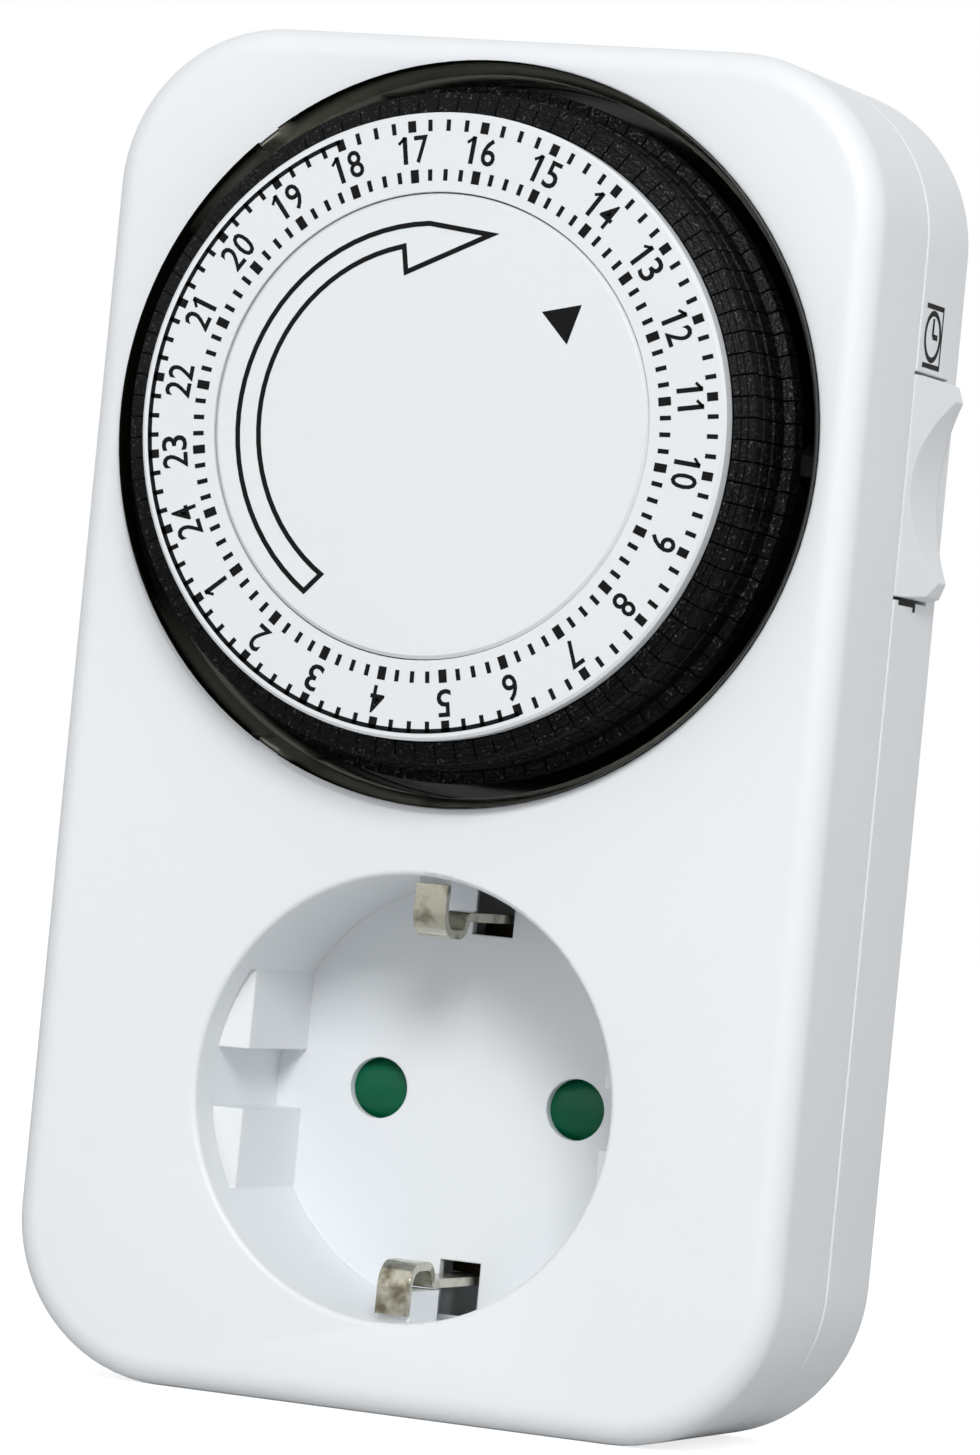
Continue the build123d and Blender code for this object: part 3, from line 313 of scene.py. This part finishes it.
# Grey specks on the highest crests: painted glints.
painted_glint_share = add_node(tree, "ShaderNodeMapRange", Value=craters.outputs["Fac"], From_Min=0.6, From_Max=0.66)
black_with_painted_glints = add_node(
    tree, "ShaderNodeMix", {"data_type": "RGBA"},
    i0=painted_glint_share.outputs["Result"], i6=shade.outputs[2], i7=linear("#515155"),
)
tree.links.new(black_with_painted_glints.outputs[2], shader.inputs["Base Color"])
matt = add_node(tree, "ShaderNodeMapRange", Value=craters.outputs["Fac"], To_Min=0.22, To_Max=0.4)
tree.links.new(matt.outputs["Result"], shader.inputs["Roughness"])
edge = add_node(tree, "ShaderNodeBevel", {"samples": 4}, Radius=0.00012)
# Fine moulded ledges round the dial's axis, 0.4 mm apart, each falling away outwards.
dial_place = add_node(tree, "ShaderNodeMapping", Vector=place, Location=(0, 0, -dial_axis_z))
ledges = add_node(
    tree, "ShaderNodeTexWave", {"wave_type": "RINGS", "rings_direction": "Y", "wave_profile": "SAW"},
    Vector=dial_place.outputs["Vector"], Scale=785.0,
)
ledge_relief = add_node(
    tree, "ShaderNodeBump", {"invert": True},
    Strength=1.0, Distance=0.0003, Height=ledges.outputs["Fac"], Normal=edge.outputs["Normal"],
)
relief = add_node(
    tree, "ShaderNodeBump", Strength=1.0, Distance=0.0001,
    Height=craters.outputs["Fac"], Normal=ledge_relief.outputs["Normal"],
)
tree.links.new(relief.outputs["Normal"], shader.inputs["Normal"])
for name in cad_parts:
    if name.startswith("tappets_") or name == "tappet_carrier":
        finish_node(name, black_abs)

# ---- dial ring with its printed hours, and the fixed centre plate ----
# Both are polished white ABS, glossier and a little greyer than the housing. The scale is pad-printed.

dial_abs, tree, shader = new_finish("polished_white_abs", IOR=1.53, Roughness=0.3)
place = add_node(tree, "ShaderNodeTexCoord").outputs["Object"]
# A faint cloud in the white, about 30 mm wide.
cloud = add_node(tree, "ShaderNodeTexNoise", Vector=place, Scale=33.0, Detail=1.0)
white = add_node(
    tree, "ShaderNodeMix", {"data_type": "RGBA"},
    i0=cloud.outputs["Fac"], i6=linear("#E0E4E7"), i7=linear("#E5E9EC"),
)
tree.links.new(white.outputs[2], shader.inputs["Base Color"])
# Slight orange peel, 1.5 mm from bump to bump.
peel = add_node(tree, "ShaderNodeTexNoise", Vector=place, Scale=650.0, Detail=1.0)
edge = add_node(tree, "ShaderNodeBevel", {"samples": 6}, Radius=0.0001)
relief = add_node(
    tree, "ShaderNodeBump", Strength=0.05, Distance=0.00003,
    Height=peel.outputs["Fac"], Normal=edge.outputs["Normal"],
)
tree.links.new(relief.outputs["Normal"], shader.inputs["Normal"])
for name in ("dial_ring", "centre_plate"):
    finish_node(name, dial_abs)

dial_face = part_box("dial_ring")[0][1]
dial_centre = Vector((0, dial_face - ink_rise, dial_axis_z))
# Angles in degrees: hour 24 at rest, counted from +X, and the steps to the next hour and quarter.
midnight = -155.6
hour_step, quarter_step = 15, 3.75


def outward(angle):
    """Unit vector in the dial's plane at an angle in degrees from +X."""
    return Vector((cos(radians(angle)), 0, sin(radians(angle))))


def forward_round(angle):
    """Unit vector along the dial's edge at that angle, counter-clockwise to the user."""
    return outward(angle + 90)


# Quarter-hour ticks in two rings; the hours are bold. Radii and widths in millimetres.
outer_ticks = (25.45, 26.45)
inner_ticks, inner_bold_ticks = (21.15, 22.15), (21.05, 22.2)
tick_width, bold_width = 0.4, 0.75
ticks = bmesh.new()
for quarter in range(96):
    angle = midnight + quarter * quarter_step
    bold = quarter % 4 == 0
    width = bold_width if bold else tick_width
    for inner, outer in (outer_ticks, inner_bold_ticks if bold else inner_ticks):
        middle = dial_centre + outward(angle) * (inner + outer) / 2000
        print_bar(ticks, middle, outward(angle), forward_round(angle), (outer - inner) / 1000, width / 1000)
place_print("hour_ticks", ticks, printing_ink, "dial")

# Thin line that joins the outer ticks through the night, from 18 over 24 to 6.
line_radii = (0.0261, 0.0265)
night = bmesh.new()
start = [night.verts.new(dial_centre + outward(midnight + 18 * hour_step) * r) for r in line_radii]
line = night.edges.new(start)
bmesh.ops.spin(night, geom=start + [line], cent=dial_centre, axis=(0, -1, 0), angle=pi, steps=90)
for face in night.faces:
    face.normal_update()
    if face.normal.y > 0:
        face.normal_flip()
place_print("night_line", night, printing_ink, "dial")

# Hour numbers, tops outwards: each figure set by itself to one height, width and stroke.
figure_height = 0.0024
figure_width = 0.00132
figure_step = 0.00152
number_radius = 0.02394
stroke_gain = 0.012
flag_lean, flag_length, flag_width = radians(48), 0.00085, 0.00026
flag_drop, flag_shift = 0.00033, 0.00026
numbers = bmesh.new()
for hour in range(1, 25):
    angle = midnight + hour * hour_step
    across = -forward_round(angle)
    figures = str(hour)
    for place_in_number, figure in enumerate(figures):
        words = bpy.data.curves.new("figure", "FONT")
        words.body = figure
        words.size = 1.0
        words.offset = stroke_gain
        words.resolution_u = 3
        holder = bpy.data.objects.new("figure", words)
        outline = bpy.data.meshes.new_from_object(holder)
        low = min(v.co.y for v in outline.vertices)
        high = max(v.co.y for v in outline.vertices)
        left = min(v.co.x for v in outline.vertices)
        wide = max(v.co.x for v in outline.vertices) - left
        tall_scale = figure_height / (high - low)
        wide_scale = tall_scale if figure == "1" else figure_width / wide
        shift = (place_in_number - (len(figures) - 1) / 2) * figure_step
        middle = dial_centre + outward(angle) * number_radius + across * shift
        turn = Matrix((across, outward(angle), Vector((0, -1, 0)))).transposed().to_4x4()
        outline.transform(
            Matrix.Translation(middle)
            @ turn
            @ Matrix.Diagonal((wide_scale, tall_scale, tall_scale, 1))
            @ Matrix.Translation((-left - wide / 2, -(low + high) / 2, 0))
        )
        numbers.from_mesh(outline)
        if figure == "1":
            # Flag at the top of the stem.
            flag = outward(angle) * cos(flag_lean) + across * sin(flag_lean)
            top = middle + outward(angle) * (figure_height / 2 - flag_drop) - across * flag_shift
            print_bar(numbers, top, flag, flag.cross(Vector((0, 1, 0))), flag_length, flag_width)
        bpy.data.objects.remove(holder)
        bpy.data.curves.remove(words)
        bpy.data.meshes.remove(outline)
for face in numbers.faces:
    face.normal_update()
    if face.normal.y > 0:
        face.normal_flip()
place_print("hour_numbers", numbers, printing_ink, "dial")

# Turning arrow on the centre plate: an outline of constant stroke.


def polar(angle, radius):
    """Point on the centre plate, radius in millimetres."""
    return dial_centre + outward(angle) * radius / 1000


arrow_stroke = 0.00045
outer_run = [polar(236.6 - step * 4.7, 18.4 - 0.7 * step / 30) for step in range(31)]
inner_run = [polar(105.2 + step * 4.43, 15.55 + 0.3 * step / 30) for step in range(31)]
arrow = bmesh.new()
corners = outer_run + [polar(74.0, 17.55), polar(106.1, 13.25)] + inner_run
arrow_face = arrow.faces.new([arrow.verts.new(p) for p in corners])
arrow_face.normal_update()
if arrow_face.normal.y > 0:
    arrow_face.normal_flip()
bmesh.ops.inset_region(
    arrow, faces=[arrow_face], thickness=arrow_stroke, use_boundary=True, use_even_offset=True
)
bmesh.ops.delete(arrow, geom=[arrow_face], context="FACES")
place_print("turning_arrow", arrow, printing_ink, "housing")

# Solid triangle that points at the present time.
triangle = ((48.0, 14.03), (33.0, 14.26), (40.9, 17.18))
pointer = bmesh.new()
tip = pointer.faces.new([pointer.verts.new(polar(angle, radius)) for angle, radius in triangle])
tip.normal_update()
if tip.normal.y > 0:
    tip.normal_flip()
place_print("time_pointer", pointer, printing_ink, "housing")

# ---- safety shutter ----
# Green polypropylene, moulded and satin. Its two ridged wings close the pin holes until a plug turns
# them aside.

green_pp, tree, shader = new_finish("green_polypropylene", IOR=1.49, Roughness=0.25, Specular_IOR_Level=0.25)
place = add_node(tree, "ShaderNodeTexCoord").outputs["Object"]
# A faint cloud in the green, about 2.5 mm wide.
cloud = add_node(tree, "ShaderNodeTexNoise", Vector=place, Scale=400.0, Detail=2.0)
green = add_node(
    tree, "ShaderNodeMix", {"data_type": "RGBA"},
    i0=cloud.outputs["Fac"], i6=linear("#005236"), i7=linear("#026343"),
)
tree.links.new(green.outputs[2], shader.inputs["Base Color"])
finish_node("safety_shutter", green_pp)

# ---- earth straps and plug pins ----
# Stamped brass strip and turned brass pins, both nickel plated: warm grey, with faint drawing lines
# and brownish stains.

nickel, tree, shader = new_finish("nickel_plated_brass", Metallic=1.0, Roughness=0.22)
place = add_node(tree, "ShaderNodeTexCoord").outputs["Object"]
# Drawing lines along the part, drawn 0.15 mm apart and 4 mm long so that they show.
lines_place = add_node(tree, "ShaderNodeMapping", Vector=place, Scale=(6500.0, 250.0, 6500.0))
lines = add_node(tree, "ShaderNodeTexNoise", Vector=lines_place.outputs["Vector"], Scale=1.0, Detail=2.0)
plate_colour = add_node(
    tree, "ShaderNodeMix", {"data_type": "RGBA"},
    i0=lines.outputs["Fac"], i6=linear("#B3B09F"), i7=linear("#D3D0C1"),
)
# Stains, about 2 mm.
stains = add_node(tree, "ShaderNodeTexNoise", Vector=place, Scale=520.0, Detail=3.0)
stain_share = add_node(tree, "ShaderNodeMapRange", Value=stains.outputs["Fac"], From_Min=0.5, From_Max=0.68)
stained = add_node(
    tree, "ShaderNodeMix", {"data_type": "RGBA"},
    i0=stain_share.outputs["Result"], i6=plate_colour.outputs[2], i7=linear("#7C7765"),
)
tree.links.new(stained.outputs[2], shader.inputs["Base Color"])
sheen = add_node(tree, "ShaderNodeMapRange", Value=lines.outputs["Fac"], To_Min=0.12, To_Max=0.28)
tree.links.new(sheen.outputs["Result"], shader.inputs["Roughness"])
edge = add_node(tree, "ShaderNodeBevel", {"samples": 6}, Radius=0.00012)
relief = add_node(
    tree, "ShaderNodeBump", Strength=0.06, Distance=0.00002,
    Height=lines.outputs["Fac"], Normal=edge.outputs["Normal"],
)
tree.links.new(relief.outputs["Normal"], shader.inputs["Normal"])
for name in ("earth_strap_upper", "earth_strap_lower", "live_pin", "neutral_pin"):
    finish_node(name, nickel)

# ---- contacts, bars and gear plate ----
# Live and neutral contacts, the two bars to the microswitch, and the plate that the gear arbors run
# in. All are stamped brass, bare and slightly tarnished.

brass, tree, shader = new_finish("stamped_brass", Metallic=1.0, Roughness=0.35)
place = add_node(tree, "ShaderNodeTexCoord").outputs["Object"]
# Tarnish in patches about 5.5 mm wide.
tarnish = add_node(tree, "ShaderNodeTexNoise", Vector=place, Scale=180.0, Detail=4.0)
yellow = add_node(
    tree, "ShaderNodeMix", {"data_type": "RGBA"},
    i0=tarnish.outputs["Fac"], i6=linear("#A8844A"), i7=linear("#CBA864"),
)
tree.links.new(yellow.outputs[2], shader.inputs["Base Color"])
rubbed = add_node(tree, "ShaderNodeMapRange", Value=tarnish.outputs["Fac"], To_Min=0.28, To_Max=0.45)
tree.links.new(rubbed.outputs["Result"], shader.inputs["Roughness"])
for name in ("live_contact", "neutral_contact", "live_feed_bar", "switched_live_bar", "gear_plate"):
    finish_node(name, brass)

# ---- earth bridge ----
# Brass strip that joins the two earth straps. It shows only in dark slots, so it is given a dull, nearly
# black brown: painted shade, standing in for the real one's finish, which isn't known.

brass_dark_as_shade, tree, shader = new_finish("brass_in_painted_shade", Metallic=1.0, Roughness=0.5)
place = add_node(tree, "ShaderNodeTexCoord").outputs["Object"]
# Blotches, about 3 mm.
blotches = add_node(tree, "ShaderNodeTexNoise", Vector=place, Scale=330.0, Detail=3.0)
darkened = add_node(
    tree, "ShaderNodeMix", {"data_type": "RGBA"},
    i0=blotches.outputs["Fac"], i6=linear("#1D1A15"), i7=linear("#3B3427"),
)
tree.links.new(darkened.outputs[2], shader.inputs["Base Color"])
finish_node("earth_bridge", brass_dark_as_shade)

# ---- screws, pins, arbors and motor can ----
# Turned, drawn and pressed pieces of zinc-plated steel: bluish grey with a faint pattern of cells.
# The screws and pins hold the shells, the gear plate, the rocker and the follower lever.

zinc, tree, shader = new_finish("zinc_plated_steel", Metallic=1.0, Roughness=0.34)
place = add_node(tree, "ShaderNodeTexCoord").outputs["Object"]
# Cells of the plating, about 1.1 mm wide.
cells = add_node(tree, "ShaderNodeTexVoronoi", Vector=place, Scale=900.0)
grey = add_node(
    tree, "ShaderNodeMix", {"data_type": "RGBA"},
    i0=cells.outputs["Distance"], i6=linear("#9EA2A8"), i7=linear("#BDC1C6"),
)
tree.links.new(grey.outputs[2], shader.inputs["Base Color"])
dull = add_node(tree, "ShaderNodeMapRange", Value=cells.outputs["Distance"], To_Min=0.28, To_Max=0.42)
tree.links.new(dull.outputs["Result"], shader.inputs["Roughness"])
for name in (
    "housing_screws", "gear_plate_screws", "gear_arbors", "rocker_pin", "follower_pin",
    "shutter_spring", "thrust_washer", "motor_can", "motor_end_plate",
):
    finish_node(name, zinc)

# ---- gears, microswitch plunger, contact carrier and shutter retainer ----
# Injection-moulded unfilled acetal in its natural colour: milky and slightly waxy. The gears turn on
# steel arbors.

acetal, tree, shader = new_finish("natural_acetal", IOR=1.48, Roughness=0.38, Subsurface_Weight=0.15)
shader.inputs["Subsurface Radius"].default_value = (0.001, 0.001, 0.0008)
place = add_node(tree, "ShaderNodeTexCoord").outputs["Object"]
# Milky cloud, about 4 mm wide.
milk = add_node(tree, "ShaderNodeTexNoise", Vector=place, Scale=250.0, Detail=2.0)
cream = add_node(
    tree, "ShaderNodeMix", {"data_type": "RGBA"},
    i0=milk.outputs["Fac"], i6=linear("#DEDACB"), i7=linear("#EAE7DC"),
)
tree.links.new(cream.outputs[2], shader.inputs["Base Color"])
for name in (
    "drive_wheel", "output_gear", "intermediate_gear", "motor_pinion", "microswitch_plunger",
    "contact_carrier", "shutter_retainer",
):
    finish_node(name, acetal)

# ---- microswitch case and follower lever ----
# Moulded black glass-filled nylon, dull, with short fibres just showing. The lever swings on a pin
# between two ears of the cup.

filled_nylon, tree, shader = new_finish("glass_filled_nylon", IOR=1.53, Roughness=0.55)
place = add_node(tree, "ShaderNodeTexCoord").outputs["Object"]
# Fibres 0.25 mm wide and 1.4 mm long, far coarser than real ones so that they show.
fibre_place = add_node(tree, "ShaderNodeMapping", Vector=place, Scale=(4000.0, 4000.0, 700.0))
fibres = add_node(tree, "ShaderNodeTexNoise", Vector=fibre_place.outputs["Vector"], Scale=1.0, Detail=2.0)
dark = add_node(
    tree, "ShaderNodeMix", {"data_type": "RGBA"},
    i0=fibres.outputs["Fac"], i6=linear("#141415"), i7=linear("#2B2B2D"),
)
tree.links.new(dark.outputs[2], shader.inputs["Base Color"])
finish_node("microswitch_case", filled_nylon)
finish_node("follower_lever", filled_nylon)

# ---- motor coil and rotor ----
# Coil of enamelled copper wire wound in layers, with a reddish brown gloss, and a rotor of sintered
# ferrite magnet, dull charcoal.

winding, tree, shader = new_finish("enamelled_copper_winding", IOR=1.5, Roughness=0.3, Metallic=0.6)
place = add_node(tree, "ShaderNodeTexCoord").outputs["Object"]
# Turns of fine wire side by side along the coil's axis, drawn 0.7 mm apart so that they show.
turns = add_node(
    tree, "ShaderNodeTexWave", {"bands_direction": "Y"}, Vector=place, Scale=450.0, Distortion=0.4, Detail=1.0
)
copper = add_node(
    tree, "ShaderNodeMix", {"data_type": "RGBA"},
    i0=turns.outputs["Fac"], i6=linear("#7A3316"), i7=linear("#B9623A"),
)
tree.links.new(copper.outputs[2], shader.inputs["Base Color"])
relief = add_node(tree, "ShaderNodeBump", Strength=0.3, Distance=0.00005, Height=turns.outputs["Fac"])
tree.links.new(relief.outputs["Normal"], shader.inputs["Normal"])
finish_node("motor_coil", winding)

ferrite, tree, shader = new_finish("sintered_ferrite", IOR=2.0, Roughness=0.5)
place = add_node(tree, "ShaderNodeTexCoord").outputs["Object"]
# Grain, drawn at 0.55 mm so that it shows.
sinter = add_node(tree, "ShaderNodeTexNoise", Vector=place, Scale=1800.0, Detail=4.0)
charcoal = add_node(
    tree, "ShaderNodeMix", {"data_type": "RGBA"},
    i0=sinter.outputs["Fac"], i6=linear("#232325"), i7=linear("#3C3C3F"),
)
tree.links.new(charcoal.outputs[2], shader.inputs["Base Color"])
finish_node("motor_rotor", ferrite)

# ---- floor and light ----
# Plain pale floor, a soft lamp from the upper right in front, a weak fill from the left, and a small
# weak lamp that grazes the front from the right.

floor_reach, floor_glow = 3.0, 0.78
floor_mesh = bmesh.new()
bmesh.ops.create_grid(
    floor_mesh, x_segments=1, y_segments=1, size=floor_reach,
    matrix=Matrix.Translation((0, 0, cad_box[0][2])),
)
floor_data = bpy.data.meshes.new("floor")
floor_mesh.to_mesh(floor_data)
floor_mesh.free()
floor = bpy.data.objects.new("floor", floor_data)
bpy.context.collection.objects.link(floor)
# The camera sees it near white by itself, so that the lit floor meets the background and its shadow stays.
pale, tree, shader = new_finish("pale_floor", Roughness=0.9, Base_Color=linear("#D8D8D8"))
shader.inputs["Specular IOR Level"].default_value = 0.0
sight = add_node(tree, "ShaderNodeLightPath")
seen = add_node(
    tree, "ShaderNodeMath", {"operation": "MULTIPLY"}, i0=sight.outputs["Is Camera Ray"], i1=floor_glow
)
glow = add_node(tree, "ShaderNodeEmission", Color=(1, 1, 1, 1), Strength=seen.outputs[0])
sum_of_both = add_node(tree, "ShaderNodeAddShader", i0=shader.outputs[0], i1=glow.outputs[0])
tree.links.new(sum_of_both.outputs[0], tree.nodes["Material Output"].inputs["Surface"])
floor_data.materials.append(pale)

# Even white studio, at full strength only where the camera, glass or a reflection sees it.
studio_strength, backdrop_strength = 0.43, 1.0
sky = bpy.data.worlds.new("studio")
bpy.context.scene.world = sky
sky.use_nodes = True
tree = sky.node_tree
tree.nodes.clear()
sight = add_node(tree, "ShaderNodeLightPath")
clear_sight = add_node(
    tree, "ShaderNodeMath", {"operation": "MAXIMUM"},
    i0=sight.outputs["Is Camera Ray"], i1=sight.outputs["Is Transmission Ray"],
)
seen = add_node(
    tree, "ShaderNodeMath", {"operation": "MAXIMUM"},
    i0=clear_sight.outputs[0], i1=sight.outputs["Is Glossy Ray"],
)
studio = add_node(tree, "ShaderNodeBackground", Color=(1, 1, 1, 1), Strength=studio_strength)
backdrop = add_node(tree, "ShaderNodeBackground", Color=(1, 1, 1, 1), Strength=backdrop_strength)
both = add_node(tree, "ShaderNodeMixShader", i0=seen.outputs[0], i1=studio.outputs[0], i2=backdrop.outputs[0])
add_node(tree, "ShaderNodeOutputWorld", Surface=both.outputs[0])

# Area lamps: place and side in metres, power in watts.
lit_point = Vector((0, -0.03, 0.03))
for name, place, size, power in (
    ("key_lamp", (0.46, -1.08, 0.7), 0.4, 10.4),
    ("fill_lamp", (-0.8, -0.9, 0.2), 0.6, 1.0),
    ("grazing_lamp", (1.0, -0.28, 0.5), 0.2, 0.3),
):
    lamp_data = bpy.data.lights.new(name, "AREA")
    lamp_data.size = size
    lamp_data.energy = power
    lamp = bpy.data.objects.new(name, lamp_data)
    lamp.location = place
    aim = lit_point - Vector(place)
    lamp.rotation_euler = aim.to_track_quat("-Z", "Y").to_euler()
    bpy.context.collection.objects.link(lamp)
